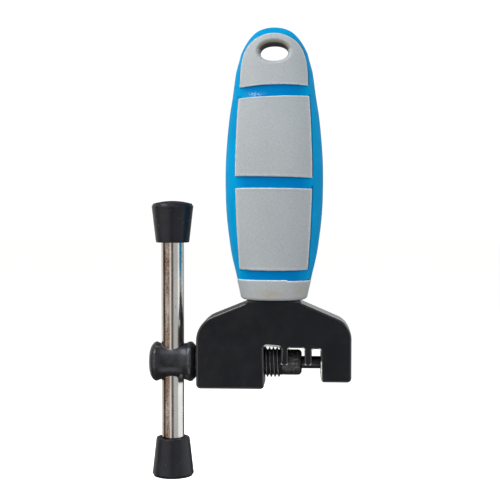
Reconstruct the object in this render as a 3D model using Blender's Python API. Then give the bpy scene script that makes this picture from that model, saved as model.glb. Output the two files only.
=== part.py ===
"""Bicycle chain rivet extractor: a cast steel body on an overmoulded handle, a forcing screw
with a captive drive pin, and a sliding tommy bar through the screw's head.

Frame: origin at the centre of the hanging hole, +Z up along the handle, +X from the screw
head towards the anvil, -Y out of the front face. The lengths below are in millimetres, and
add_piece turns them into metres.
"""

import math

import bmesh
import bpy
from mathutils import Vector

MM = 0.001
FIT_GAP = 0.3  # left between pieces that touch each other and don't move
RUNNING_GAP = 0.07  # radial, round a piece that slides or turns

# Handle outline: (height, half width) and (height, half depth), from the top down.
HANDLE_TOP = 8.5
HANDLE_WIDTHS = (
    (8.5, 0.0), (7.1, 5.5), (4.5, 8.25), (1.85, 9.95), (-2.0, 11.6), (-6.0, 12.5), (-13.8, 13.6),
    (-21.6, 14.8), (-33.5, 15.85), (-42.6, 16.05), (-53.3, 15.65), (-65.2, 14.15), (-73.2, 12.35),
    (-80.7, 10.7),
)
HANDLE_DEPTHS = (
    (8.5, 0.0), (7.1, 4.5), (4.5, 6.1), (0.0, 6.8), (-6.0, 7.3), (-13.8, 8.3), (-27.0, 9.7),
    (-42.6, 10.3), (-56.0, 10.1), (-70.0, 9.7), (-80.7, 9.3),
)
SECTION_POWER = 2.3  # superellipse power of the handle's cross-section

# Soft panels moulded on the front and the back, in pockets of the blue core.
PANEL_TOP = 6.0
PANEL_WIDTHS = (
    (6.0, 0.0), (4.9, 4.8), (3.4, 7.2), (1.2, 9.05), (-2.0, 10.25), (-6.0, 10.9), (-10.9, 11.15),
    (-14.5, 11.5), (-27.0, 12.2), (-40.5, 12.5), (-57.0, 12.0), (-71.0, 11.1),
)
TOP_PANEL_END = -10.9
MIDDLE_PANEL = (-14.5, -40.5)
LOWER_PANEL = (-44.2, -70.9)
PANEL_PROUD = 0.4
PANEL_DEPTH = 0.9  # how far a panel reaches below the handle's surface
BAND_DEPTH = 0.6  # how far the blue bands between the panels lie below it
POCKET_DRAFT = 0.05  # width of a pocket's slanted side wall

# Hanging hole, lined by the top panel.
EYE_HALF_WIDTH = 4.65
EYE_HALF_HEIGHT = 2.95
EYE_POWER = 2.2
EYE_WALL = 1.0
EYE_FLARE = 1.2  # how much wider the hole is at its mouth
EYE_FLARE_START = 2.2  # depth below the skin where the flare begins

# Collar round the handle's lower end.
COLLAR_TOP = -74.0
COLLAR_BOTTOM = -80.7
COLLAR_WALL = 1.5
COLLAR_PROUD = 0.15

# Body casting: a rounded plate with the threaded block, the two teeth and the anvil leg.
BODY_HALF_DEPTH = 7.2
BODY_HALF_WIDTH = 25.4
NECK_TOP = -81.0
NECK_HALF_WIDTH = 8.8
SHOULDER = (9.5, -81.85)  # where the slopes start, under the neck
LEFT_SLOPE = 22.0  # degrees
RIGHT_SLOPE = 23.3
LEFT_CORNER_RADIUS = 8.7
RIGHT_CORNER_RADIUS = 7.0
BLOCK_BOTTOM = -109.85
BLOCK_RIGHT = -3.1
LEG_LEFT = 15.4
LEG_BOTTOM = -107.5
FIRST_TOOTH = (2.35, 4.75)
SECOND_TOOTH = (10.1, 12.5)
TOOTH_BOTTOM = -102.0
BLOCK_SLOT_CEILING = -95.75
MIDDLE_SLOT_CEILING = -96.3
LEG_SLOT_CEILING = -96.6
CHANNEL_HALF_WIDTH = 5.2
EDGE_ROUND = 0.6
TOOTH_ROUND = 0.5
SLOT_ROUND = 0.9  # the first slot's ceiling is eased more
TANG_HALF_WIDTH = 5.0
TANG_HALF_DEPTH = 3.6
TANG_TOP = -42.0
TANG_POWER = 4.0
ANVIL_HOLE_RADIUS = 2.6
BORE_CHAMFER = 0.7

# Forcing screw, M10 x 1.25, right-handed, along X.
SCREW_Z = -101.8
THREAD_RADIUS = 5.0
THREAD_ROOT = 4.25
NECK_RADIUS = 4.15  # between the head and the thread
PITCH = 1.25
THREAD_START = -24.6
THREAD_END = 2.6
HEAD_X = -33.8  # middle of the spool-shaped head, and the tommy bar's place
HEAD_LEFT = -41.4
HEAD_RIGHT = -26.1
FLANGE_RADIUS = 6.6
WAIST_RADIUS = 5.85
CROSS_HOLE_GAP = 0.1  # radial, round the tommy bar
SPIGOT_RADIUS = 2.9
SPIGOT_END = 5.6

# Pin cap and drive pin.
CAP_RADIUS = 4.25
CAP_END = 9.2
CAP_NOSE_RADIUS = 1.3
CAP_FRONT_WALL = 1.3
PIN_RADIUS = 2.05
PIN_HEAD_RADIUS = 2.8
PIN_HEAD_LENGTH = 1.6
PIN_TIP = 18.5

# Tommy bar, slid up from its middle position.
BAR_RADIUS = 3.75
BAR_MIDDLE_Z = -94.65
BAR_CAP_SPAN = 92.7  # over both domed ends
BAR_CAP_LENGTH = 12.3
BAR_CAP_DOME = 1.5
BAR_CAP_NARROW = 5.55
BAR_CAP_WIDE = 6.95
BAR_SOCKET_DEPTH = 10.0

ROUND_SIDES = 32
THREAD_SIDES = 16


# ---------------------------------------------------------------- helpers


def clear_scene():
    for obj in list(bpy.data.objects):
        bpy.data.objects.remove(obj)


def principled(name, color, roughness, metallic=0.0, coat=0.0):
    material = bpy.data.materials.new(name)
    material.use_nodes = True
    shader = material.node_tree.nodes["Principled BSDF"]
    shader.inputs["Base Color"].default_value = (*color, 1.0)
    shader.inputs["Roughness"].default_value = roughness
    shader.inputs["Metallic"].default_value = metallic
    shader.inputs["Coat Weight"].default_value = coat
    return material


def add_axis(name, place, parent=None):
    """An empty on a joint's axis, placed in millimetres."""
    empty = bpy.data.objects.new(name, None)
    bpy.context.scene.collection.objects.link(empty)
    empty.empty_display_size = 10.0 * MM
    empty["place"] = place
    start = Vector(parent["place"]) if parent else Vector((0.0, 0.0, 0.0))
    empty.location = (Vector(place) - start) * MM
    empty.parent = parent
    return empty


def add_piece(name, bm, material=None, axis=None):
    """The bmesh, in millimetres, as an object whose origin is at its axis or the frame's origin."""
    start = Vector(axis["place"]) if axis else Vector((0.0, 0.0, 0.0))
    bmesh.ops.remove_doubles(bm, verts=bm.verts, dist=0.001)
    bmesh.ops.recalc_face_normals(bm, faces=bm.faces)
    for vertex in bm.verts:
        vertex.co = (vertex.co - start) * MM
    mesh = bpy.data.meshes.new(name)
    bm.to_mesh(mesh)
    bm.free()
    obj = bpy.data.objects.new(name, mesh)
    bpy.context.scene.collection.objects.link(obj)
    obj.parent = axis
    if material is None:
        obj.hide_render = True
        obj.display_type = "WIRE"
        return obj
    mesh.materials.append(material)
    mesh.shade_smooth()
    mesh.set_sharp_from_angle(angle=math.radians(35.0))
    return obj


def add_boolean(obj, other, operation="DIFFERENCE"):
    modifier = obj.modifiers.new(other.name, "BOOLEAN")
    modifier.operation = operation
    modifier.solver = "EXACT"
    modifier.object = other


def smooth_curve(points):
    """A function of position: cubic pieces through (position, value), rising position."""
    slopes = []
    for i in range(len(points)):
        before = points[max(i - 1, 0)]
        after = points[min(i + 1, len(points) - 1)]
        slopes.append((after[1] - before[1]) / (after[0] - before[0]))

    def value(position):
        i = 0
        while i < len(points) - 2 and position > points[i + 1][0]:
            i += 1
        (x0, y0), (x1, y1) = points[i], points[i + 1]
        span = x1 - x0
        t = min(max((position - x0) / span, 0.0), 1.0)
        rise = y0 * (1.0 + 2.0 * t) * (1.0 - t) ** 2 + y1 * t * t * (3.0 - 2.0 * t)
        lean = slopes[i] * t * (1.0 - t) ** 2 - slopes[i + 1] * t * t * (1.0 - t)
        return rise + lean * span

    return value


def rounded_top(points):
    """A curve over height that closes round at its first point, as a dome does."""
    top = points[0][0]
    curve = smooth_curve([(math.sqrt(top - z), size) for z, size in points])
    return lambda z: curve(math.sqrt(max(top - z, 0.0)))


handle_width = rounded_top(HANDLE_WIDTHS)
handle_depth = rounded_top(HANDLE_DEPTHS)
panel_width = rounded_top(PANEL_WIDTHS)


def surface_depth(x, z):
    """Distance of the handle's surface from its middle plane, at this width and height."""
    share = min(abs(x) / max(handle_width(z), 1e-6), 1.0)
    return handle_depth(z) * (1.0 - share**SECTION_POWER) ** (1.0 / SECTION_POWER)


def oval(angle, half_x, half_y, power):
    """The point of a superellipse in the direction of the angle."""
    c = math.cos(angle)
    s = math.sin(angle)
    reach = (abs(c / half_x) ** power + abs(s / half_y) ** power) ** (-1.0 / power)
    return reach * c, reach * s


def steps(first, last, count):
    return [first + (last - first) * i / count for i in range(count + 1)]


def loft(rings, cap_ends=True, close=False):
    """Rings of points joined by faces. close joins the last ring to the first, as in a tube."""
    bm = bmesh.new()
    rows = [[bm.verts.new(point) for point in ring] for ring in rings]
    pairs = list(zip(rows, rows[1:]))
    if close:
        pairs.append((rows[-1], rows[0]))
    for low, high in pairs:
        for i in range(len(low)):
            j = (i + 1) % len(low)
            bm.faces.new((low[i], low[j], high[j], high[i]))
    if cap_ends and not close:
        bm.faces.new(rows[0])
        bm.faces.new(rows[-1])
    return bm


def turned(profile, centre, along="x", sides=ROUND_SIDES, close=False):
    """A turned solid. profile is (position along the axis, radius)."""
    rings = []
    for position, radius in profile:
        ring = []
        for i in range(sides):
            turn = 2.0 * math.pi * i / sides
            a = radius * math.cos(turn)
            b = radius * math.sin(turn)
            if along == "x":
                ring.append((position, centre[1] + a, centre[2] + b))
            else:
                ring.append((centre[0] + a, centre[1] + b, position))
        rings.append(ring)
    return loft(rings, close=close)


def arc(centre_a, centre_b, radius, start, end, count):
    """(position, radius) points on an arc, with angles in degrees."""
    return [
        (
            centre_a + radius * math.cos(math.radians(angle)),
            centre_b + radius * math.sin(math.radians(angle)),
        )
        for angle in steps(start, end, count)
    ]


def rounded_outline(corners, degrees_per_step=18.0):
    """Points (x, z, edge) round a closed outline of corners (x, z, radius, edge)."""
    points = []
    for i, (x, z, radius, edge) in enumerate(corners):
        here = Vector((x, z))
        back = (Vector(corners[i - 1][:2]) - here).normalized()
        ahead = (Vector(corners[(i + 1) % len(corners)][:2]) - here).normalized()
        half = back.angle(ahead) / 2.0
        if radius <= 0.0:
            points.append((x, z, edge))
            continue
        centre = here + (back + ahead).normalized() * (radius / math.sin(half))
        first = here + back * (radius / math.tan(half)) - centre
        turn = math.pi - 2.0 * half
        side = back.x * ahead.y - back.y * ahead.x
        count = max(1, round(math.degrees(turn) / degrees_per_step))
        for part in steps(0.0, math.copysign(turn, -side), count):
            c = math.cos(part)
            s = math.sin(part)
            at = centre + Vector((first.x * c - first.y * s, first.x * s + first.y * c))
            points.append((at.x, at.y, edge))
    return points


def rounded_plate(outline, half_depth, rounds):
    """A plate of this outline, its front and back edges rounded by each point's own radius."""
    inward = []
    for i, (x, z, _) in enumerate(outline):
        back = Vector((x, z)) - Vector(outline[i - 1][:2])
        ahead = Vector(outline[(i + 1) % len(outline)][:2]) - Vector((x, z))
        normal = back.normalized() + ahead.normalized()
        normal = Vector((normal.y, -normal.x)).normalized()
        lean = normal.dot(Vector((ahead.y, -ahead.x)).normalized())
        inward.append(normal / lean)
    rings = []
    for side in (-1.0, 1.0):
        turns = steps(0.0, 90.0, rounds)
        for turn in turns if side < 0.0 else reversed(turns):
            inset = 1.0 - math.sin(math.radians(turn))
            drop = 1.0 - math.cos(math.radians(turn))
            rings.append(
                [
                    (
                        x + n.x * edge * inset,
                        side * (half_depth - edge * drop),
                        z + n.y * edge * inset,
                    )
                    for (x, z, edge), n in zip(outline, inward)
                ]
            )
    return loft(rings)


# ---------------------------------------------------------------- handle


def pocket_depth(z):
    """How deep the pocket in the core's front and back is at this height."""
    if z > PANEL_TOP or z < COLLAR_TOP:
        return 0.0
    for end, start in (
        (MIDDLE_PANEL[0], TOP_PANEL_END),
        (LOWER_PANEL[0], MIDDLE_PANEL[1]),
        (COLLAR_TOP, LOWER_PANEL[1]),
    ):
        if end + FIT_GAP < z < start - FIT_GAP:
            return BAND_DEPTH
    return PANEL_DEPTH + FIT_GAP


def core_ring(z):
    """One section of the core, anticlockwise from the front's middle."""
    width = handle_width(z)
    pocket = pocket_depth(z)
    edge = panel_width(min(z, PANEL_TOP - POCKET_DRAFT)) + FIT_GAP
    if z > PANEL_TOP + FIT_GAP:
        edge = 0.72 * width  # above the pocket the points only spread over the dome
    edge = min(edge, 0.93 * width)  # keeps the rim on the front of the section
    rim = edge + POCKET_DRAFT
    quarter = [(x, surface_depth(x, z) - pocket) for x in (0.0, 0.5 * edge, edge)]
    quarter.append((rim, surface_depth(rim, z)))
    first = math.atan2(surface_depth(rim, z), rim)
    for turn in steps(first, 0.0, 5)[1:]:
        quarter.append(oval(turn, width, handle_depth(z), SECTION_POWER))
    right = quarter[:-1] + [(x, -y) for x, y in reversed(quarter[1:])]
    left = [(-x, -y) for x, y in right]
    return [(x, -y, z) for x, y in right + left]


def make_handle_core(material):
    """Blue core, with pockets for the panels, a neck for the collar and a socket for the tang."""
    above = 0.01  # the two sections at a pocket's end lie just above and below it
    below = POCKET_DRAFT - above
    heights = [HANDLE_TOP - POCKET_DRAFT, 8.3, 7.6, 6.9, PANEL_TOP + FIT_GAP]
    heights += [PANEL_TOP - POCKET_DRAFT, 5.6, 5.1, 4.5, 3.6, 2.6, 1.4, 0.0, -1.5, -3.5, -6.0]
    for start in (TOP_PANEL_END, MIDDLE_PANEL[1], LOWER_PANEL[1]):
        heights += [start - FIT_GAP + above, start - FIT_GAP - below]
    for end in (MIDDLE_PANEL[0], LOWER_PANEL[0]):
        heights += [end + FIT_GAP + below, end + FIT_GAP - above]
    heights += steps(-19.5, -35.0, 3) + steps(-49.0, -65.0, 3)
    heights += [COLLAR_TOP + POCKET_DRAFT]
    rings = [core_ring(z) for z in sorted(heights, reverse=True)]
    neck_end = COLLAR_BOTTOM + COLLAR_WALL + FIT_GAP
    neck_inset = COLLAR_WALL - COLLAR_PROUD + FIT_GAP
    angles = steps(-0.5 * math.pi, 1.5 * math.pi, len(rings[0]))[:-1]
    for z in (COLLAR_TOP - 0.01, neck_end):
        half_x = handle_width(z) - neck_inset
        half_y = handle_depth(z) - neck_inset
        rings.append([(*oval(a, half_x, half_y, SECTION_POWER), z) for a in angles])
    for z in (neck_end, TANG_TOP + FIT_GAP):
        half_x = TANG_HALF_WIDTH + FIT_GAP
        half_y = TANG_HALF_DEPTH + FIT_GAP
        rings.append([(*oval(a, half_x, half_y, TANG_POWER), z) for a in angles])
    core = add_piece("handle_core", loft(rings), material)
    eye = add_piece("eye_cutter", eye_prism(EYE_WALL + FIT_GAP, 2.0 * handle_depth(0.0)))
    add_boolean(core, eye)
    return core


def eye_prism(grow, half_length):
    rings = []
    for y in (-half_length, half_length):
        ring = []
        for i in range(ROUND_SIDES):
            turn = 2.0 * math.pi * i / ROUND_SIDES
            x, z = oval(turn, EYE_HALF_WIDTH + grow, EYE_HALF_HEIGHT + grow, EYE_POWER)
            ring.append((x, y, z))
        rings.append(ring)
    return loft(rings)


def make_panel(name, span, side, material):
    """A soft panel on the front (side -1) or the back (side 1), with its edges eased."""
    top, bottom = span
    ease = PANEL_PROUD
    rings = []
    heights = [top, top - ease] + steps(top - 4.0, bottom + 4.0, 4) + [bottom + ease, bottom]
    for z in heights:
        width = panel_width(z)
        proud = 0.0 if z in (top, bottom) else PANEL_PROUD
        across = [-width, -width + ease] + steps(-0.75 * width, 0.75 * width, 6)
        across += [width - ease, width]
        outer = []
        for x in across:
            lift = 0.0 if abs(x) == width else proud
            outer.append((x, side * (surface_depth(x, z) + lift), z))
        inner = []
        for x in (width, 0.75 * width, 0.25 * width, -0.25 * width, -0.75 * width, -width):
            inner.append((x, side * (surface_depth(x, z) - PANEL_DEPTH), z))
        rings.append(outer + inner)
    return add_piece(name, loft(rings), material)


def panel_reach(angle):
    """Distance from the eye's centre to the top panel's edge in this direction."""
    near, far = 1.0, 20.0
    for _ in range(40):
        middle = (near + far) / 2.0
        x = middle * math.cos(angle)
        z = middle * math.sin(angle)
        inside = TOP_PANEL_END < z < PANEL_TOP and abs(x) < panel_width(z)
        near, far = (middle, far) if inside else (near, middle)
    return near


def make_grip_top(material):
    """The top panel: its front and back skins are one piece with the eye's lining."""
    corner = math.atan2(TOP_PANEL_END, panel_width(TOP_PANEL_END))
    low = -math.pi - corner
    angles = steps(corner, math.pi - corner, 26)[:-1] + steps(low, corner, 8)[:-1]
    loops = []
    for angle in angles:
        c = math.cos(angle)
        s = math.sin(angle)
        throat = math.hypot(*oval(angle, EYE_HALF_WIDTH, EYE_HALF_HEIGHT, EYE_POWER))
        reach = panel_reach(angle)
        lip = throat + EYE_FLARE
        edge = reach - PANEL_PROUD
        middle = (lip + edge) / 2.0

        def skin(distance, lift):
            return surface_depth(distance * c, distance * s) + lift

        half = [(throat, skin(lip, -EYE_FLARE_START)), (throat + 0.3, skin(lip, -0.6))]
        half += [(lip, skin(lip, PANEL_PROUD)), (middle, skin(middle, PANEL_PROUD))]
        half += [(edge, skin(edge, PANEL_PROUD)), (reach, skin(reach, 0.0))]
        half += [(reach, skin(reach, -PANEL_DEPTH))]
        wall = throat + EYE_WALL
        half += [((wall + reach) / 2.0, skin((wall + reach) / 2.0, -PANEL_DEPTH))]
        half += [(wall, skin(wall, -PANEL_DEPTH))]
        front = [(distance * c, -y, distance * s) for distance, y in half]
        back = [(distance * c, y, distance * s) for distance, y in reversed(half)]
        loops.append(front + back)
    return add_piece("grip_top", loft(loops, close=True), material)


def make_collar(material):
    """Soft collar: a cup round the core's neck, with a hole for the tang in its floor."""
    floor_top = COLLAR_BOTTOM + COLLAR_WALL
    proud = COLLAR_PROUD
    wall = COLLAR_WALL
    profile = [
        (COLLAR_TOP, proud - 0.35), (COLLAR_TOP - 0.3, proud), (-77.0, proud),
        (COLLAR_BOTTOM + 0.9, proud), (COLLAR_BOTTOM + 0.25, proud - 0.3), (COLLAR_BOTTOM, proud - 0.9),
    ]
    angles = steps(0.0, 2.0 * math.pi, ROUND_SIDES)[:-1]
    rings = []
    for z, grow in profile:
        half_x = handle_width(z) + grow
        half_y = handle_depth(z) + grow
        rings.append([(*oval(a, half_x, half_y, SECTION_POWER), z) for a in angles])
    for z in (COLLAR_BOTTOM, floor_top):
        half_x = TANG_HALF_WIDTH + FIT_GAP
        half_y = TANG_HALF_DEPTH + FIT_GAP
        rings.append([(*oval(a, half_x, half_y, TANG_POWER), z) for a in angles])
    for z in (floor_top, COLLAR_TOP):
        half_x = handle_width(z) + proud - wall
        half_y = handle_depth(z) + proud - wall
        rings.append([(*oval(a, half_x, half_y, SECTION_POWER), z) for a in angles])
    return add_piece("grip_collar", loft(rings, close=True), material)


# ---------------------------------------------------------------- body


def body_corners():
    """(x, z, corner radius, edge rounding), clockwise from the neck's left end."""
    edge = EDGE_ROUND
    tooth = TOOTH_ROUND
    run = BODY_HALF_WIDTH - SHOULDER[0]
    left_slope = math.tan(math.radians(LEFT_SLOPE)) * run
    right_slope = math.tan(math.radians(RIGHT_SLOPE)) * run
    return (
        (-SHOULDER[0], SHOULDER[1], 0.8, edge),
        (-NECK_HALF_WIDTH, NECK_TOP, 0.8, edge),
        (NECK_HALF_WIDTH, NECK_TOP, 0.8, edge),
        (SHOULDER[0], SHOULDER[1], 0.8, edge),
        (BODY_HALF_WIDTH, SHOULDER[1] - right_slope, RIGHT_CORNER_RADIUS, edge),
        (BODY_HALF_WIDTH, LEG_BOTTOM, 1.5, edge),
        (LEG_LEFT, LEG_BOTTOM, 1.3, edge),
        (LEG_LEFT, LEG_SLOT_CEILING, 0.7, tooth),
        (SECOND_TOOTH[1], LEG_SLOT_CEILING, 0.7, tooth),
        (SECOND_TOOTH[1], TOOTH_BOTTOM, 0.75, tooth),
        (SECOND_TOOTH[0], TOOTH_BOTTOM, 0.75, tooth),
        (SECOND_TOOTH[0], MIDDLE_SLOT_CEILING, 0.8, tooth),
        (FIRST_TOOTH[1], MIDDLE_SLOT_CEILING, 0.8, tooth),
        (FIRST_TOOTH[1], TOOTH_BOTTOM, 0.75, tooth),
        (FIRST_TOOTH[0], TOOTH_BOTTOM, 0.75, tooth),
        (FIRST_TOOTH[0], BLOCK_SLOT_CEILING - 0.4, 1.2, SLOT_ROUND),
        (BLOCK_RIGHT, BLOCK_SLOT_CEILING, 0.9, SLOT_ROUND),
        (BLOCK_RIGHT, BLOCK_BOTTOM, 1.2, edge),
        (-BODY_HALF_WIDTH, BLOCK_BOTTOM, 1.5, edge),
        (-BODY_HALF_WIDTH, SHOULDER[1] - left_slope, LEFT_CORNER_RADIUS, edge),
    )


def make_body(material):
    body = add_piece(
        "tool_body", rounded_plate(rounded_outline(body_corners()), BODY_HALF_DEPTH, 2), material
    )
    angles = steps(0.0, 2.0 * math.pi, 24)[:-1]
    rings = []
    for z, grow in ((NECK_TOP - 2.0, 0.0), (TANG_TOP - 1.0, 0.0), (TANG_TOP, -1.0)):
        half_x = TANG_HALF_WIDTH + grow
        half_y = TANG_HALF_DEPTH + grow
        rings.append([(*oval(a, half_x, half_y, TANG_POWER), z) for a in angles])
    add_boolean(body, add_piece("tang_shape", loft(rings)), "UNION")

    reach = BODY_HALF_WIDTH + 2.0
    bore = THREAD_RADIUS + RUNNING_GAP
    mouth = bore + BORE_CHAMFER
    profile = [(-reach, mouth), (-BODY_HALF_WIDTH, mouth)]
    profile += [(-BODY_HALF_WIDTH + BORE_CHAMFER, bore), (BLOCK_RIGHT - BORE_CHAMFER, bore)]
    profile += [(BLOCK_RIGHT, mouth), (BLOCK_RIGHT + 1.0, mouth)]
    add_boolean(body, add_piece("bore_cutter", turned(profile, (0.0, 0.0, SCREW_Z))))

    anvil = [(LEG_LEFT - 1.0, ANVIL_HOLE_RADIUS), (reach, ANVIL_HOLE_RADIUS)]
    anvil_cutter = turned(anvil, (0.0, 0.0, SCREW_Z), sides=20)
    add_boolean(body, add_piece("anvil_cutter", anvil_cutter))

    channel = bmesh.new()
    bmesh.ops.create_cube(channel, size=1.0)
    left = BLOCK_RIGHT + 0.9
    right = LEG_LEFT - 0.9
    top = MIDDLE_SLOT_CEILING + 0.05
    bottom = TOOTH_BOTTOM - 3.0
    for vertex in channel.verts:
        vertex.co.x = right if vertex.co.x > 0.0 else left
        vertex.co.y = math.copysign(CHANNEL_HALF_WIDTH, vertex.co.y)
        vertex.co.z = top if vertex.co.z > 0.0 else bottom
    add_boolean(body, add_piece("channel_cutter", channel))
    return body


# ---------------------------------------------------------------- screw, pin and bar


def head_profile():
    """The spool-shaped head, from its left end to its right face."""
    crest_left = HEAD_LEFT + 2.3
    crest_right = HEAD_RIGHT - 2.1
    profile = [(HEAD_LEFT, 3.2), (HEAD_LEFT + 0.35, 4.8), (HEAD_LEFT + 1.1, 6.0)]
    for share in steps(-1.0, 1.0, 10):
        x = (crest_left + crest_right + share * (crest_right - crest_left)) / 2.0
        profile.append((x, WAIST_RADIUS + (FLANGE_RADIUS - WAIST_RADIUS) * share**4))
    profile += [(HEAD_RIGHT - 0.9, FLANGE_RADIUS - 0.25), (HEAD_RIGHT, FLANGE_RADIUS - 1.3)]
    return profile


def add_ring(bm, x, radius, sides):
    turns = [2.0 * math.pi * i / sides for i in range(sides)]
    return [
        bm.verts.new((x, radius * math.cos(t), SCREW_Z + radius * math.sin(t))) for t in turns
    ]


def join_rings(bm, low, high):
    for i in range(len(low)):
        j = (i + 1) % len(low)
        bm.faces.new((low[i], low[j], high[j], high[i]))


def thread_point(row, turn):
    """A point of the thread. Rows alternate crest and root, and each follows the helix."""
    x = THREAD_START - PITCH + PITCH * (row / 2.0 + turn)
    x = min(max(x, THREAD_START), THREAD_END)
    crest = THREAD_RADIUS if row % 2 == 0 else THREAD_ROOT
    start_cone = NECK_RADIUS + (x - THREAD_START)
    end_cone = NECK_RADIUS + (THREAD_END - x)
    radius = min(crest, start_cone, end_cone)
    angle = 2.0 * math.pi * turn
    return (x, radius * math.cos(angle), SCREW_Z + radius * math.sin(angle))


def thread_mesh():
    """The threaded length: a sheet whose rows run along the helix, merged where it is clamped."""
    bm = bmesh.new()
    count = 2 * math.ceil((THREAD_END - THREAD_START) / PITCH + 2)
    sides = THREAD_SIDES
    rows = []
    for row in range(count + 2):
        rows.append([bm.verts.new(thread_point(row, i / sides)) for i in range(sides)])
    for row in range(count - 1):
        for i in range(sides):
            over = i + 1 == sides
            a, b = rows[row][i], rows[row + 1][i]
            c = rows[row + 3][0] if over else rows[row + 1][i + 1]
            d = rows[row + 2][0] if over else rows[row][i + 1]
            bm.faces.new((a, b, c, d))
    bmesh.ops.remove_doubles(bm, verts=bm.verts, dist=0.0001)
    bmesh.ops.dissolve_degenerate(bm, edges=bm.edges, dist=0.0001)
    loose = [vertex for vertex in bm.verts if not vertex.link_faces]
    bmesh.ops.delete(bm, geom=loose, context="VERTS")
    return bm


def make_screw(material, axis):
    """Head, neck, thread and spigot as one turned and threaded piece."""
    sides = THREAD_SIDES
    bm = thread_mesh()
    head_shape = head_profile() + [(HEAD_RIGHT, NECK_RADIUS)]
    head = turned(head_shape, (0.0, 0.0, SCREW_Z), sides=2 * sides)
    head_piece = add_piece("head_shape", head)
    ends = [edge for edge in bm.edges if len(edge.link_faces) == 1]
    left_edges = [e for e in ends if all(v.co.x < THREAD_START + 0.01 for v in e.verts)]
    left_ring = sorted({v for e in left_edges for v in e.verts}, key=ring_angle)
    right_edges = [e for e in ends if all(v.co.x > THREAD_END - 0.01 for v in e.verts)]
    right_ring = sorted({v for e in right_edges for v in e.verts}, key=ring_angle)
    inside_head = add_ring(bm, HEAD_RIGHT - 1.5, NECK_RADIUS, sides)
    join_rings(bm, sorted(inside_head, key=ring_angle), left_ring)
    bm.faces.new(inside_head)
    before = right_ring
    spigot = [(THREAD_END, SPIGOT_RADIUS), (SPIGOT_END - 0.3, SPIGOT_RADIUS)]
    for x, radius in spigot + [(SPIGOT_END, SPIGOT_RADIUS - 0.3)]:
        ring = sorted(add_ring(bm, x, radius, sides), key=ring_angle)
        join_rings(bm, before, ring)
        before = ring
    bm.faces.new(before)
    screw = add_piece("forcing_screw", bm, material, axis)
    add_boolean(screw, head_piece, "UNION")
    hole_radius = BAR_RADIUS + CROSS_HOLE_GAP
    hole_reach = 2.0 * FLANGE_RADIUS
    hole = [(SCREW_Z - hole_reach, hole_radius), (SCREW_Z + hole_reach, hole_radius)]
    add_boolean(screw, add_piece("cross_hole_cutter", turned(hole, (HEAD_X, 0.0, 0.0), "z")))
    return screw


def ring_angle(vertex):
    return math.atan2(vertex.co.z - SCREW_Z, vertex.co.y) % (2.0 * math.pi - 1e-6)


def make_pin_cap(material, axis):
    """Round-nosed cap screwed on the spigot: it keeps the drive pin's head."""
    nose = CAP_NOSE_RADIUS
    back = THREAD_END + FIT_GAP
    bore = SPIGOT_RADIUS + FIT_GAP
    hole = PIN_RADIUS + RUNNING_GAP
    profile = [(back, CAP_RADIUS - 0.3), (back + 0.3, CAP_RADIUS)]
    profile += arc(CAP_END - nose, CAP_RADIUS - nose, nose, 90.0, 0.0, 4)
    profile += [(CAP_END, hole), (CAP_END - CAP_FRONT_WALL, hole), (CAP_END - CAP_FRONT_WALL, bore)]
    profile += [(back, bore)]
    return add_piece("pin_cap", turned(profile, (0.0, 0.0, SCREW_Z), close=True), material, axis)


def make_drive_pin(material, axis):
    """Hard pin with a captive head, running in the cap's hole and into the anvil."""
    head_end = CAP_END - CAP_FRONT_WALL - 0.1
    head_start = head_end - PIN_HEAD_LENGTH
    profile = [(head_start, PIN_HEAD_RADIUS - 0.3), (head_start + 0.3, PIN_HEAD_RADIUS)]
    profile += [(head_end, PIN_HEAD_RADIUS), (head_end, PIN_RADIUS)]
    profile += [(PIN_TIP - 0.5, PIN_RADIUS), (PIN_TIP, PIN_RADIUS - 0.5)]
    return add_piece("drive_pin", turned(profile, (0.0, 0.0, SCREW_Z), sides=20), material, axis)


def bar_end(side):
    """Height of the outer end of the upper (1) or lower (-1) cap."""
    return BAR_MIDDLE_Z + side * BAR_CAP_SPAN / 2.0


def make_tommy_bar(material, axis):
    socket_floor = BAR_CAP_DOME + BAR_CAP_LENGTH - BAR_SOCKET_DEPTH + FIT_GAP
    top = bar_end(1) - socket_floor
    bottom = bar_end(-1) + socket_floor
    chamfer = 0.5
    profile = [(top, BAR_RADIUS - chamfer), (top - chamfer, BAR_RADIUS)]
    profile += [(bottom + chamfer, BAR_RADIUS), (bottom, BAR_RADIUS - chamfer)]
    centre = (HEAD_X, 0.0, 0.0)
    return add_piece("tommy_bar", turned(profile, centre, "z"), material, axis)


def make_bar_cap(name, side, material, axis):
    """Tapered plastic end cap, wide and domed at its outer end, with a blind socket."""
    end = bar_end(side)
    round_edge = 0.5
    rim = end - side * BAR_CAP_DOME
    inner = rim - side * BAR_CAP_LENGTH
    socket = BAR_RADIUS + FIT_GAP
    dome = []
    for share in (0.12, 0.4, 0.68, 0.9):
        sag = 0.75 * BAR_CAP_DOME * share * share
        dome.append((end - side * sag, share * BAR_CAP_WIDE))
    profile = dome + [(rim - side * 0.1, BAR_CAP_WIDE), (rim - side * round_edge, BAR_CAP_WIDE)]
    profile += [(inner + side * 0.4, BAR_CAP_NARROW), (inner, BAR_CAP_NARROW - 0.35)]
    profile += [(inner, socket), (inner + side * BAR_SOCKET_DEPTH, socket)]
    return add_piece(name, turned(profile, (HEAD_X, 0.0, 0.0), "z", sides=28), material, axis)


# ---------------------------------------------------------------- assembly


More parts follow.
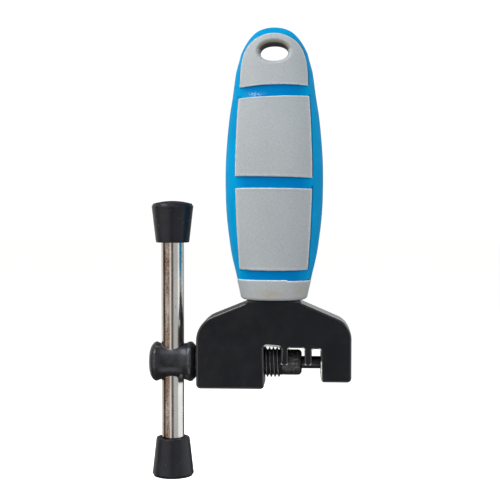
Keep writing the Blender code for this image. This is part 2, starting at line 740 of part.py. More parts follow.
def build():
    clear_scene()
    blue = principled("blue_plastic", (0.0, 0.28, 0.66), 0.3, coat=0.3)
    grey = principled("grey_soft", (0.36, 0.39, 0.41), 0.75)
    black_paint = principled("black_paint", (0.012, 0.013, 0.016), 0.22, coat=0.6)
    black_oxide = principled("black_oxide", (0.035, 0.037, 0.042), 0.38, metallic=0.6)
    chrome = principled("chrome", (0.8, 0.77, 0.73), 0.12, metallic=1.0)
    black_plastic = principled("black_plastic", (0.018, 0.019, 0.024), 0.42)
    pin_steel = principled("pin_steel", (0.05, 0.052, 0.06), 0.3, metallic=0.9)

    make_body(black_paint)
    make_handle_core(blue)
    make_grip_top(grey)
    for side, face in ((-1.0, "front"), (1.0, "back")):
        make_panel(f"grip_middle_{face}", MIDDLE_PANEL, side, grey)
        make_panel(f"grip_lower_{face}", LOWER_PANEL, side, grey)
    make_collar(grey)

    pin_axis = add_axis("pin_axis", (CAP_END, 0.0, SCREW_Z))
    screw_axis = add_axis("screw_axis", (HEAD_X, 0.0, SCREW_Z), pin_axis)
    bar_axis = add_axis("bar_axis", (HEAD_X, 0.0, BAR_MIDDLE_Z), screw_axis)
    make_drive_pin(pin_steel, pin_axis)
    make_screw(black_oxide, screw_axis)
    make_pin_cap(black_oxide, screw_axis)
    make_tommy_bar(chrome, bar_axis)
    make_bar_cap("bar_cap_upper", 1, black_plastic, bar_axis)
    make_bar_cap("bar_cap_lower", -1, black_plastic, bar_axis)


build()
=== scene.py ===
import math

import bmesh
import bpy
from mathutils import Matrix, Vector, noise


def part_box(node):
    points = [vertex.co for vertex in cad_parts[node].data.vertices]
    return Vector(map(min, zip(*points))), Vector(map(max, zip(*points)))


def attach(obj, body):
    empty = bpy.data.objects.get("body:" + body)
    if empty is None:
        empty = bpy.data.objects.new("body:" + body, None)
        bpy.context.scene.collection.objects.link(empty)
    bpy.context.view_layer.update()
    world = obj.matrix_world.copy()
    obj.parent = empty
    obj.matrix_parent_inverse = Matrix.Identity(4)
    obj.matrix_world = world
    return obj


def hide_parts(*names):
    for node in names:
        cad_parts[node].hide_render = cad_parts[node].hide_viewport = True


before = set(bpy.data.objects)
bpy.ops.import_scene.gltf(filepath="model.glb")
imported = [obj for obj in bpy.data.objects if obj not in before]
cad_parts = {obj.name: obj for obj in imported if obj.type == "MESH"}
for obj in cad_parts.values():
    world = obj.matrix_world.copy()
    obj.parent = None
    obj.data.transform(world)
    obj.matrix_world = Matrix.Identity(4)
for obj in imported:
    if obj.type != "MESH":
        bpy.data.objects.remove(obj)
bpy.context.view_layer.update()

MM = 0.001
TAU = 2.0 * math.pi


# ---------------------------------------------------------------- sizes, in millimetres


def node_box(name):
    """Lowest and highest corner of a CAD node, in millimetres."""
    low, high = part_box(name)
    return low / MM, high / MM


BODY_LOW, BODY_HIGH = node_box("tool_body")
COLLAR_LOW, COLLAR_HIGH = node_box("grip_collar")
SCREW_LOW, SCREW_HIGH = node_box("forcing_screw")
CAP_LOW, CAP_HIGH = node_box("pin_cap")
PIN_LOW, PIN_HIGH = node_box("drive_pin")
BAR_LOW, BAR_HIGH = node_box("tommy_bar")
UPPER_LOW, UPPER_HIGH = node_box("bar_cap_upper")
LOWER_LOW, LOWER_HIGH = node_box("bar_cap_lower")
TOP_PANEL_LOW, _ = node_box("grip_top")
MIDDLE_LOW, MIDDLE_HIGH = node_box("grip_middle_front")
PANEL_LOW, PANEL_HIGH = node_box("grip_lower_front")

# The handle's outline: (height, half width) and (height, half depth), from the top down.
HANDLE_TOP = 8.5
HANDLE_WIDTHS = (
    (8.5, 0.0), (7.1, 5.5), (4.5, 8.25), (1.85, 9.95), (-2.0, 11.6), (-6.0, 12.5), (-13.8, 13.6),
    (-21.6, 14.8), (-33.5, 15.85), (-42.6, 16.05), (-53.3, 15.65), (-65.2, 14.15), (-73.2, 12.35),
    (-80.7, 10.7),
)
HANDLE_DEPTHS = (
    (8.5, 0.0), (7.1, 4.5), (4.5, 6.1), (0.0, 6.8), (-6.0, 7.3), (-13.8, 8.3), (-27.0, 9.7),
    (-42.6, 10.3), (-56.0, 10.1), (-70.0, 9.7), (-80.7, 9.3),
)
SECTION_POWER = 2.3
PANEL_TOP = 6.0
PANEL_TIP = PANEL_TOP - 0.03  # where the panels already have a width
PANEL_WIDTHS = (
    (6.0, 0.0), (4.9, 4.8), (3.4, 7.2), (1.2, 9.05), (-2.0, 10.25), (-6.0, 10.9), (-10.9, 11.15),
    (-14.5, 11.5), (-27.0, 12.2), (-40.5, 12.5), (-57.0, 12.0), (-71.0, 11.1),
)
PANEL_PROUD = 0.4
PANEL_DEPTH = 0.9
BAND_DEPTH = 0.6
EDGE_RADIUS = 0.35
BEAD = 0.06  # the faint bead inside a panel's rounded edge
SHADOW_REACH = 0.22  # how fast a thin edge line fades
EDGE_STEPS = (0.0, 0.02, 0.06, 0.12, 0.2, 0.3, 0.42, 0.55, 0.7, 0.95)
# The groove beside a panel: (distance outward from the panel's edge, depth).
GROOVE = ((0.0, 0.55), (0.01, 0.3), (0.05, 0.14), (0.13, 0.05), (0.26, 0.01), (0.42, 0.0))
EYE_HALF_WIDTH = 4.65
EYE_HALF_HEIGHT = 2.95
EYE_POWER = 2.2
EYE_SPARE = 0.8  # how much larger all round the core's eye is than its lining
TANG_HALF_WIDTH = 5.3
TANG_HALF_DEPTH = 3.9
TANG_POWER = 4.0
NECK_INSET = 1.5
SOCKET_DEPTH = 30.0
BOND_GAP = 0.3
COLLAR_WALL = 1.35
COLLAR_STEP = 0.33  # the collar's top edge drops this far, between these two places
STEP_START, STEP_END = 4.2, 4.6

SCREW_Z = (SCREW_LOW.z + SCREW_HIGH.z) / 2.0
HEAD_X = (BAR_LOW.x + BAR_HIGH.x) / 2.0
BAR_RADIUS = (BAR_HIGH.x - BAR_LOW.x) / 2.0
THREAD_RADIUS = 5.0
PITCH = 1.25
PIN_RADIUS = 2.05
RUNNING_GAP = 0.07
BLOCK_RIGHT = -3.1
LEG_LEFT = 15.4
LEG_BOTTOM = -107.5
FIRST_TOOTH = (2.35, 4.75)
SECOND_TOOTH = (10.1, 12.5)
TOOTH_BOTTOM = -102.0
SLOT_CEILING = -95.75
MIDDLE_CEILING = -96.3
LEG_CEILING = -96.6
HEAD_LENGTH = 15.3
FLANGE_RADIUS = 6.6
WAIST_RADIUS = 5.85


# ---------------------------------------------------------------- shape helpers


def steps(first, last, count):
    return [first + (last - first) * i / count for i in range(count + 1)]


def smooth_curve(points):
    """A function of position: cubic pieces through (position, value), rising position."""
    slopes = []
    for i in range(len(points)):
        before = points[max(i - 1, 0)]
        after = points[min(i + 1, len(points) - 1)]
        slopes.append((after[1] - before[1]) / (after[0] - before[0]))

    def value(position):
        i = 0
        while i < len(points) - 2 and position > points[i + 1][0]:
            i += 1
        (x0, y0), (x1, y1) = points[i], points[i + 1]
        span = x1 - x0
        t = min(max((position - x0) / span, 0.0), 1.0)
        rise = y0 * (1.0 + 2.0 * t) * (1.0 - t) ** 2 + y1 * t * t * (3.0 - 2.0 * t)
        lean = slopes[i] * t * (1.0 - t) ** 2 - slopes[i + 1] * t * t * (1.0 - t)
        return rise + lean * span

    return value


def rounded_top(points):
    """A curve over height that closes round at its first point, as a dome does."""
    top = points[0][0]
    curve = smooth_curve([(math.sqrt(top - z), size) for z, size in points])
    return lambda z: curve(math.sqrt(max(top - z, 0.0)))


handle_width = rounded_top(HANDLE_WIDTHS)
handle_depth = rounded_top(HANDLE_DEPTHS)
panel_width = rounded_top(PANEL_WIDTHS)


def surface_depth(x, z):
    """Distance of the handle's surface from its middle plane, at this width and height."""
    share = min(abs(x) / max(handle_width(z), 1e-6), 1.0)
    return handle_depth(z) * (1.0 - share**SECTION_POWER) ** (1.0 / SECTION_POWER)


def oval(angle, half_x, half_y, power):
    c = math.cos(angle)
    s = math.sin(angle)
    reach = (abs(c / half_x) ** power + abs(s / half_y) ** power) ** (-1.0 / power)
    return reach * c, reach * s


def oval_ring(angles, half_x, half_y, power, z):
    return [(*oval(angle, half_x, half_y, power), z) for angle in angles]


def tang_ring(angles, z, grow=0.0):
    """The section of the body's tang, or of its socket in the handle and the collar."""
    return oval_ring(angles, TANG_HALF_WIDTH + grow, TANG_HALF_DEPTH + grow, TANG_POWER, z)


def wobble(seed, *place):
    """Smooth noise between about -1 and 1, the same each run."""
    x, y, z = (*place, 0.0, 0.0)[:3]
    return noise.noise(Vector((x + 17.3 * seed, y - 5.1 * seed, z + 3.7 * seed)))


def loft(rings, close=False):
    """Faces between each ring and the next: closed into a loop, or capped at both ends."""
    bm = bmesh.new()
    rows = [[bm.verts.new(point) for point in ring] for ring in rings]
    pairs = list(zip(rows, rows[1:]))
    if close:
        pairs.append((rows[-1], rows[0]))
    for low, high in pairs:
        for i in range(len(low)):
            j = (i + 1) % len(low)
            bm.faces.new((low[i], low[j], high[j], high[i]))
    if not close:
        bm.faces.new(rows[0])
        bm.faces.new(rows[-1])
    return bm


def turned(profile, along="x", sides=96, close=False, ripple=None):
    """A turned piece round the screw's axis (along x) or the tommy bar's (along z)."""
    rings = []
    for position, radius in profile:
        ring = []
        for i in range(sides):
            turn = TAU * i / sides
            r = radius + (ripple(position, turn) if ripple else 0.0)
            a = r * math.cos(turn)
            b = r * math.sin(turn)
            ring.append((position, a, SCREW_Z + b) if along == "x" else (HEAD_X + a, b, position))
        rings.append(ring)
    return loft(rings, close=close)


def arc(centre_a, centre_b, radius, start, end, count):
    points = []
    for angle in steps(start, end, count):
        turn = math.radians(angle)
        points.append((centre_a + radius * math.cos(turn), centre_b + radius * math.sin(turn)))
    return points


def object_of(name, bm):
    """The bmesh, in millimetres, as an object of the scene."""
    bmesh.ops.recalc_face_normals(bm, faces=bm.faces)
    for vertex in bm.verts:
        vertex.co *= MM
    mesh = bpy.data.meshes.new(name)
    bm.to_mesh(mesh)
    bm.free()
    obj = bpy.data.objects.new(name, mesh)
    bpy.context.scene.collection.objects.link(obj)
    return obj


def shade(obj, crease):
    """Smooth shading, with an edge sharper than crease degrees kept as an edge."""
    obj.data.shade_smooth()
    obj.data.set_sharp_from_angle(angle=math.radians(crease))


def piece(name, bm, body, replaced, material):
    """The bmesh as a finished piece that rides on a body and may replace a CAD node."""
    bmesh.ops.remove_doubles(bm, verts=bm.verts, dist=0.0005)
    obj = object_of(name, bm)
    obj.data.materials.append(material)
    shade(obj, 30.0)
    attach(obj, body)
    if replaced:
        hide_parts(replaced)
    return obj


def cut(obj, *shapes, operation="DIFFERENCE"):
    """Booleans applied at once, so that nothing but the finished mesh stays."""
    cutters = [object_of("cutter", bm) for bm in shapes]
    for other in cutters:
        modifier = obj.modifiers.new("cut", "BOOLEAN")
        modifier.operation = operation
        modifier.solver = "EXACT"
        modifier.object = other
    apply_modifiers(obj)
    for other in cutters:
        bpy.data.objects.remove(other)


def apply_modifiers(obj):
    graph = bpy.context.evaluated_depsgraph_get()
    finished = bpy.data.meshes.new_from_object(obj.evaluated_get(graph), depsgraph=graph)
    obj.modifiers.clear()
    obj.data = finished


def weight_normals(obj):
    modifier = obj.modifiers.new("normals", "WEIGHTED_NORMAL")
    modifier.keep_sharp = True
    modifier.weight = 80
    apply_modifiers(obj)


# ---------------------------------------------------------------- materials


class Nodes:
    """A short way to write a material's node tree."""

    def __init__(self, name):
        self.material = bpy.data.materials.new(name)
        self.material.use_nodes = True
        self.tree = self.material.node_tree
        self.shader = self.tree.nodes["Principled BSDF"]
        self.place = self.add("ShaderNodeTexCoord").outputs["Object"]

    def fill(self, socket, value):
        """Sets a socket to a number, vector or colour, or links another node's output to it."""
        if isinstance(value, (float, int)):
            socket.default_value = value
        elif isinstance(value, tuple):
            socket.default_value = (*value, 1.0) if socket.type == "RGBA" else value
        else:
            self.tree.links.new(value, socket)

    def add(self, kind, inputs=None, **settings):
        node = self.tree.nodes.new(kind)
        for key, value in settings.items():
            setattr(node, key, value)
        for key, value in (inputs or {}).items():
            self.fill(node.inputs[key], value)
        return node

    def stretched(self, scale):
        inputs = {"Scale": scale, "Vector": self.place}
        return self.add("ShaderNodeMapping", inputs).outputs["Vector"]

    def noise(self, scale, detail=3.0, roughness=0.5, vector=None):
        """Noise with about this many features per metre."""
        inputs = {"Scale": scale, "Detail": detail, "Roughness": roughness}
        inputs["Vector"] = vector or self.place
        return self.add("ShaderNodeTexNoise", inputs).outputs["Fac"]

    def cells(self, scale):
        inputs = {"Scale": scale, "Vector": self.place}
        return self.add("ShaderNodeTexVoronoi", inputs).outputs["Distance"]

    def ramp(self, source, *stops):
        """A colour ramp: stops are (position, colour)."""
        node = self.add("ShaderNodeValToRGB", {"Fac": source})
        ramp = node.color_ramp
        while len(ramp.elements) < len(stops):
            ramp.elements.new(0.5)
        for element, (position, colour) in zip(ramp.elements, stops):
            element.position = position
            element.color = (*colour, 1.0)
        return node.outputs["Color"]

    def remap(self, source, low, high, to_low, to_high):
        inputs = {"From Min": low, "From Max": high, "To Min": to_low, "To Max": to_high}
        return self.add("ShaderNodeMapRange", inputs | {"Value": source}).outputs["Result"]

    def math(self, operation, a, b):
        return self.add("ShaderNodeMath", {0: a, 1: b}, operation=operation).outputs["Value"]

    def mix(self, factor, a, b, blend="MIX"):
        inputs = {0: factor, 6: a, 7: b}
        node = self.add("ShaderNodeMix", inputs, data_type="RGBA", blend_type=blend)
        return node.outputs[2]

    def attribute(self, name):
        return self.add("ShaderNodeAttribute", attribute_name=name).outputs["Fac"]

    def bump(self, height, strength, distance, before=None):
        """Raises the surface by the height. distance is in millimetres."""
        inputs = {"Strength": strength, "Distance": distance * MM, "Height": height}
        if before:
            inputs["Normal"] = before
        return self.add("ShaderNodeBump", inputs).outputs["Normal"]

    def set(self, **values):
        for key, value in values.items():
            self.fill(self.shader.inputs[key.replace("_", " ")], value)


def blue_plastic():
    n = Nodes("blue_plastic")
    tone = n.ramp(n.noise(90.0, 2.0), (0.35, (0.0, 0.275, 0.57)), (0.65, (0.0, 0.305, 0.63)))
    scuffs = n.noise(900.0, 4.0, 0.7, n.stretched((1.0, 1.0, 0.35)))
    scuffs = n.remap(scuffs, 0.7, 0.8, 0.0, 0.35)
    tone = n.mix(scuffs, tone, (0.12, 0.45, 0.75))
    # painted shade: the band floors are darker where they sink below the panels
    shade_and_tint = n.attribute("shade_and_tint")
    tone = n.mix(shade_and_tint, tone, (0.0, 0.19, 0.50))
    ragged = n.remap(n.noise(1300.0, 4.0, 0.7), 0.45, 0.6, 0.0, 1.0)
    tone = n.mix(n.math("MULTIPLY", n.attribute("scuff_and_reflection"), ragged), tone, (0.5, 0.75, 0.85))
    # painted shadow: dark navy beside and under the panels, from the core's edge attribute
    n.set(Base_Color=n.mix(n.attribute("edge"), tone, (0.0, 0.05, 0.16)))
    dull = n.remap(n.noise(400.0, 3.0), 0.3, 0.7, 0.46, 0.58)
    n.set(Roughness=n.mix(shade_and_tint, dull, (0.30, 0.30, 0.30)))
    grain = n.bump(n.noise(2600.0, 2.0), 0.12, 0.03)
    n.set(Normal=n.bump(n.noise(220.0, 2.0), 0.25, 0.06, grain))
    n.set(Specular_IOR_Level=0.07, Specular_Tint=(0.2, 0.7, 1.0))
    return n.material


def grey_soft():
    n = Nodes("grey_soft")
    fine = n.noise(2600.0, 3.0, 0.6)
    mottle = n.ramp(fine, (0.3, (0.335, 0.365, 0.385)), (0.7, (0.43, 0.465, 0.485)))
    cloudy = n.ramp(n.noise(60.0, 2.0), (0.3, (0.93, 0.94, 0.95)), (0.7, (1.0, 1.0, 1.0)))
    tone = n.mix(1.0, mottle, cloudy, "MULTIPLY")
    # whitish edge lines: partly moulding flash, partly painted highlight; on the collar's bottom
    # edge, painted highlight
    broken = n.remap(n.noise(1500.0, 3.0), 0.35, 0.6, 0.35, 1.0)
    edge = n.math("MULTIPLY", n.attribute("edge"), broken)
    tone = n.mix(edge, tone, (0.90, 0.93, 0.95))
    tone = n.mix(n.attribute("shade_and_tint"), tone, (0.34, 0.28, 0.16))
    n.set(Base_Color=n.mix(n.attribute("shade"), tone, (0.015, 0.025, 0.06)))
    n.set(Roughness=n.remap(n.noise(700.0), 0.3, 0.7, 0.52, 0.7))
    pits = n.bump(n.cells(3200.0), 0.3, 0.04)
    n.set(Normal=n.bump(n.noise(5200.0, 2.0), 0.3, 0.03, pits), Specular_IOR_Level=0.35)
    return n.material


def black_paint():
    n = Nodes("black_paint")
    mottle = n.noise(150.0, 3.0)
    tone = n.ramp(mottle, (0.3, (0.0055, 0.0065, 0.009)), (0.7, (0.009, 0.010, 0.0135)))
    dust = n.remap(n.noise(3200.0, 2.0), 0.74, 0.82, 0.0, 0.2)
    tone = n.mix(dust, tone, (0.16, 0.16, 0.17))
    # painted highlights on the rounded edges of the slots, teeth and leg, from the body's edge
    # attribute
    broken = n.remap(n.noise(1900.0, 3.0), 0.3, 0.6, 0.55, 1.0)
    glinting = n.math("MULTIPLY", n.attribute("edge"), broken)
    n.set(Base_Color=n.mix(glinting, tone, (0.72, 0.72, 0.69)))
    n.set(Roughness=n.remap(n.noise(350.0, 3.0), 0.3, 0.7, 0.16, 0.26))
    skin = n.bump(n.noise(620.0, 1.5), 0.35, 0.04)
    n.set(Normal=n.bump(n.noise(160.0, 1.0), 0.3, 0.08, skin))
    n.set(Coat_Weight=0.8, Coat_Roughness=0.05)
    return n.material


def black_oxide():
    n = Nodes("black_oxide")
    mottle = n.noise(500.0, 4.0, 0.6)
    tone = n.ramp(mottle, (0.3, (0.020, 0.021, 0.025)), (0.7, (0.042, 0.044, 0.052)))
    # lighter crests and edges: partly wear, partly painted highlight
    broken = n.remap(n.noise(800.0, 3.0), 0.35, 0.65, 0.2, 1.0)
    wear_and_highlight = n.math("MULTIPLY", n.attribute("edge"), broken)
    n.set(Base_Color=n.mix(wear_and_highlight, tone, (0.42, 0.42, 0.43)), Metallic=0.55)
    n.set(Roughness=n.remap(n.noise(300.0, 3.0), 0.3, 0.7, 0.26, 0.38))
    lathe = n.noise(2400.0, 2.0, 0.5, n.stretched((1.0, 0.02, 0.02)))
    n.set(Normal=n.bump(n.noise(1500.0, 2.0), 0.2, 0.03, n.bump(lathe, 0.25, 0.03)))
    return n.material


def rough_oxide():
    n = Nodes("rough_oxide")
    speck = n.noise(1500.0, 4.0, 0.65)
    grooves = n.noise(2200.0, 3.0, 0.6, n.stretched((1.0, 0.12, 0.12)))
    dark, middle, bright = (0.014, 0.016, 0.020), (0.09, 0.087, 0.09), (0.4, 0.34, 0.31)
    tone = n.ramp(speck, (0.35, dark), (0.58, middle), (0.72, bright))
    n.set(Base_Color=tone, Metallic=0.6, Roughness=n.remap(speck, 0.3, 0.7, 0.28, 0.5))
    n.set(Normal=n.bump(speck, 0.5, 0.1, n.bump(grooves, 0.8, 0.16)))
    return n.material


def chrome():
    n = Nodes("chrome_bar")
    tone = n.ramp(n.noise(70.0, 2.0), (0.3, (0.66, 0.64, 0.61)), (0.7, (0.76, 0.74, 0.72)))
    spots = n.noise(1300.0, 4.0, 0.7, n.stretched((1.0, 1.0, 0.3)))
    spots = n.remap(spots, 0.62, 0.74, 0.0, 0.75)
    tone = n.mix(spots, tone, (0.22, 0.15, 0.12))
    patchy = n.noise(420.0, 4.0, 0.65, n.stretched((1.0, 1.0, 0.25)))
    patchy = n.remap(patchy, 0.3, 0.55, 0.45, 1.0)
    # painted reflection: a patchy brown strip down the bar's front left side
    reflection_strip = n.math("MULTIPLY", n.attribute("scuff_and_reflection"), patchy)
    brown = n.noise(2100.0, 4.0, 0.65)
    brown = n.ramp(brown, (0.4, (0.09, 0.055, 0.042)), (0.62, (0.37, 0.26, 0.20)))
    n.set(Base_Color=n.mix(reflection_strip, tone, brown), Metallic=1.0)
    scuffs = n.noise(1600.0, 3.0, 0.6, n.stretched((1.0, 1.0, 0.06)))
    n.set(Roughness=n.remap(scuffs, 0.3, 0.7, 0.1, 0.26))
    n.set(Normal=n.bump(scuffs, 0.2, 0.02))
    return n.material


def black_plastic():
    n = Nodes("black_plastic")
    tone = n.ramp(n.noise(300.0, 3.0), (0.3, (0.009, 0.010, 0.014)), (0.7, (0.014, 0.015, 0.021)))
    specks = n.remap(n.noise(1800.0, 2.0), 0.72, 0.78, 0.0, 0.6)
    n.set(Base_Color=n.mix(specks, tone, (0.3, 0.31, 0.33)))
    n.set(Roughness=n.remap(n.noise(500.0), 0.3, 0.7, 0.28, 0.4))
    n.set(Normal=n.bump(n.noise(2600.0, 2.0), 0.3, 0.03), Specular_IOR_Level=0.3)
    return n.material


def pin_steel():
    n = Nodes("pin_steel")
    tone = n.ramp(n.noise(700.0, 3.0), (0.3, (0.035, 0.036, 0.042)), (0.7, (0.07, 0.07, 0.08)))
    n.set(Base_Color=tone, Metallic=0.9)
    lathe = n.noise(3000.0, 2.0, 0.5, n.stretched((1.0, 0.02, 0.02)))
    n.set(Roughness=n.remap(lathe, 0.3, 0.7, 0.25, 0.4), Normal=n.bump(lathe, 0.3, 0.02))
    return n.material


BLUE = blue_plastic()
GREY = grey_soft()
PAINT = black_paint()
OXIDE = black_oxide()
ROUGH = rough_oxide()
CHROME = chrome()
PLASTIC = black_plastic()
STEEL = pin_steel()


# ---------------------------------------------------------------- handle


def mark_edges(obj, measure, name="edge"):
    """A float attribute from 0 to 1, worked out for each vertex, which the materials read."""
    layer = obj.data.attributes.new(name, "FLOAT", "POINT")
    for vertex, value in zip(obj.data.vertices, layer.data):
        value.value = measure(vertex.co / MM)


def blot(co, x, z, half_width, half_height):
    """1 at this place on the front, and less further from it."""
    spread = ((co.x - x) / half_width) ** 2 + ((co.z - z) / half_height) ** 2
    return math.exp(-spread) if co.y < 0.0 else 0.0


def smooth_step(value, low, high):
    share = min(max((value - low) / (high - low), 0.0), 1.0)
    return share * share * (3.0 - 2.0 * share)


def edge_height(distance):
    """How proud a panel stands this far inside its edge: round over, then a faint bead."""
    share = min(max(distance / EDGE_RADIUS, 0.0), 1.0)
    bead = BEAD * math.exp(-(((distance - 0.5) / 0.22) ** 2))
    return (PANEL_PROUD - BEAD) * math.sqrt(1.0 - (1.0 - share) ** 2) + bead


def near_edge(span, inner):
    """Distances from one edge inward, close together where the edge is rounded."""
    return [distance for distance in EDGE_STEPS if distance < inner * span]


BANDS = (
    (MIDDLE_HIGH.z, TOP_PANEL_LOW.z),
    (PANEL_HIGH.z, MIDDLE_LOW.z),
    (COLLAR_HIGH.z - 0.7, PANEL_LOW.z),
)


# How each panel end runs across the handle: (height, rise in the middle, bow, tilt).
PANEL_ENDS = (
    (TOP_PANEL_LOW.z, 0.15, 0.6, 0.3), (MIDDLE_HIGH.z, -0.1, 0.2, 0.38),
    (MIDDLE_LOW.z, 0.0, 0.1, -0.28), (PANEL_HIGH.z, 0.0, 0.15, -0.12),
    (PANEL_LOW.z, 0.0, -0.25, -0.05),
)


def band_bend(x, z):
    """How far the nearest panel end lies above its plain height, at this distance across."""
    _, rise, bow, tilt = min(PANEL_ENDS, key=lambda end: abs(end[0] - z))
    share = min(max(x / panel_width(z), -1.0), 1.0)
    return rise - bow * share * share + tilt * share


def in_band(z):
    return any(low + 0.1 < z < high - 0.1 for low, high in BANDS)


def core_section(z):
    """One section of the blue core, anticlockwise from the middle of the front."""
    width = handle_width(z)
    floor = BAND_DEPTH
    fade = 1.8 if in_band(z) else 0.01
    edge = panel_width(min(z, PANEL_TIP)) + 0.04
    flush = z > PANEL_TOP + 0.03
    if flush:
        floor = 0.0
        edge = min(edge + (z - PANEL_TOP) * 3.0, 0.6 * width)
    edge = min(edge, 0.93 * width)
    quarter = []
    inner = max(edge - 2.0, 0.6 * edge)
    for x in steps(0.0, inner, 7)[:-1] + steps(inner, edge - 0.02, 8):
        share = min((edge - x) / fade, 1.0)
        quarter.append((x, surface_depth(x, z) - floor * share * share * (3.0 - 2.0 * share)))
    wall = 0.0 if flush or in_band(z) else 1.0
    for offset, sink in GROOVE:
        x = edge + offset * min(1.0, width - edge)
        quarter.append((x, surface_depth(x, z) - wall * sink))
    first = math.atan2(quarter[-1][1], quarter[-1][0])
    for turn in steps(first, 0.0, 15)[1:]:
        x, y = oval(turn, width, handle_depth(z), SECTION_POWER)
        quarter.append((x + 0.07 * math.exp(-((y / 0.12) ** 2)), y))
    right = quarter[:-1] + [(x, -y) for x, y in reversed(quarter[1:])]
    left = [(-x, -y) for x, y in right]
    return [(x, -y, z) for x, y in right + left]


def make_core():
    heights = [HANDLE_TOP - d * d for d in steps(0.12, 1.55, 16)]
    heights += steps(PANEL_TOP + 0.2, PANEL_TOP + 0.04, 2) + [PANEL_TIP]
    heights += [PANEL_TOP - 0.2 - d * d for d in steps(0.0, 2.4, 14)]
    heights += steps(-6.0, COLLAR_HIGH.z - 0.5, 90)
    for low, high in BANDS:
        heights += steps(low + 0.2, high - 0.12, 14)
    rings = [core_section(z) for z in sorted(set(heights), reverse=True)]
    angles = steps(-0.25 * TAU, 0.75 * TAU, len(rings[0]))[:-1]
    neck = COLLAR_LOW.z + 1.8  # where the core ends inside the collar
    for z in (COLLAR_HIGH.z - 0.51, neck):
        half_x = handle_width(z) - NECK_INSET
        half_y = handle_depth(z) - NECK_INSET
        rings.append(oval_ring(angles, half_x, half_y, SECTION_POWER, z))
    rings += [tang_ring(angles, z) for z in (neck, neck + SOCKET_DEPTH)]
    core = piece("handle_shell", loft(rings), "frame", "handle_core", BLUE)
    half_x = EYE_HALF_WIDTH + EYE_SPARE
    half_z = EYE_HALF_HEIGHT + EYE_SPARE
    outline = [oval(turn, half_x, half_z, EYE_POWER) for turn in steps(0.0, TAU, 96)[:-1]]
    cut(core, loft([[(x, y, z) for x, z in outline] for y in (-14.0, 14.0)]))

    # Painted shade on the band floors, darker towards the middle of each band.
    def band_floor_shade(co):
        near = panel_width(min(co.z, PANEL_TOP)) - abs(co.x)
        return smooth_step(near, -0.4, 4.0) if in_band(co.z) else 0.0

    def in_shadow(co):
        """Painted shadow: the thin gap right of each panel, and the strip that each panel's lower
        edge shades.
        """
        beside = co.x - panel_width(min(co.z, PANEL_TIP))
        if co.y > 0.0 or co.z > PANEL_TOP - 0.5:
            return 0.0
        for _, high in BANDS:
            if in_band(co.z) and abs(high - co.z) < 3.0:
                if abs(co.x) >= panel_width(co.z):
                    return 0.0
                gap = high + band_bend(co.x, high) - co.z
                return 0.8 * math.exp(-max(gap, 0.0) / SHADOW_REACH)
        return 0.85 * math.exp(-((beside - 0.1) / SHADOW_REACH) ** 2)

    mark_edges(core, band_floor_shade, "shade_and_tint")
    mark_edges(core, in_shadow)
    mark_edges(core, lambda co: blot(co, -6.2, -13.9, 2.0, 0.5), "scuff_and_reflection")


def make_panel(node, low, high, side):
    """A soft panel on the front (side -1) or the back (side 1)."""
    span = high - low
    ends = near_edge(span, 0.4)
    heights = [low + d for d in ends] + steps(low + 1.3, high - 1.3, 60)
    heights += [high - d for d in reversed(ends)]
    rings = []
    for z in reversed(heights):
        width = panel_width(z)
        sides = near_edge(2.0 * width, 0.4)
        across = [-width + d for d in sides] + steps(-width + 1.3, width - 1.3, 26)
        across += [width - d for d in reversed(sides)]
        outer = []
        end = min(z - low, high - z)
        fade = math.exp(-end / 1.5)
        for x in across:
            ragged = 0.07 * wobble(side * 3.0 + (z > (low + high) / 2.0), x * 1.3) * fade
            at = z + ragged + band_bend(x, z) * fade
            distance = min(end, width - abs(x))
            outer.append((x, side * (surface_depth(x, z) + edge_height(distance)), at))
        inner = []
        for share in (1.0, 0.6, 0.2, -0.2, -0.6, -1.0):
            x = share * width
            at = z + band_bend(x, z) * fade
            inner.append((x, side * (surface_depth(x, z) - PANEL_DEPTH + 0.05), at))
        rings.append(outer + inner)
    skin = piece(f"{node}_skin", loft(rings), "frame", node, GREY)

    def measure(co):
        top = high + band_bend(co.x, high) - co.z
        bottom = co.z - low - band_bend(co.x, low)
        across = panel_width(co.z) - abs(co.x)
        if abs(co.y) < surface_depth(co.x, co.z) - 0.2:
            return 0.0
        # a whitish line along the edges: partly moulding flash, partly painted highlight
        plain = 0.85 * math.exp(-max(min(across, bottom), 0.0) / 0.25)
        return max(plain, 0.7 * (1.0 - smooth_step(top, 0.05, 0.32)))

    mark_edges(skin, measure)


def panel_reach(angle):
    """Distance from the eye's centre to the top panel's edge in this direction."""
    near, far = 1.0, 20.0
    for _ in range(40):
        middle = (near + far) / 2.0
        x = middle * math.cos(angle)
        z = middle * math.sin(angle)
        low = TOP_PANEL_LOW.z + band_bend(x, TOP_PANEL_LOW.z)
        inside = low < z < PANEL_TOP and abs(x) < panel_width(z)
        near, far = (middle, far) if inside else (near, middle)
    return near


def eye_reach(angle):
    """Distance from the eye's centre to its throat in this direction."""
    return math.hypot(*oval(angle, EYE_HALF_WIDTH, EYE_HALF_HEIGHT, EYE_POWER))


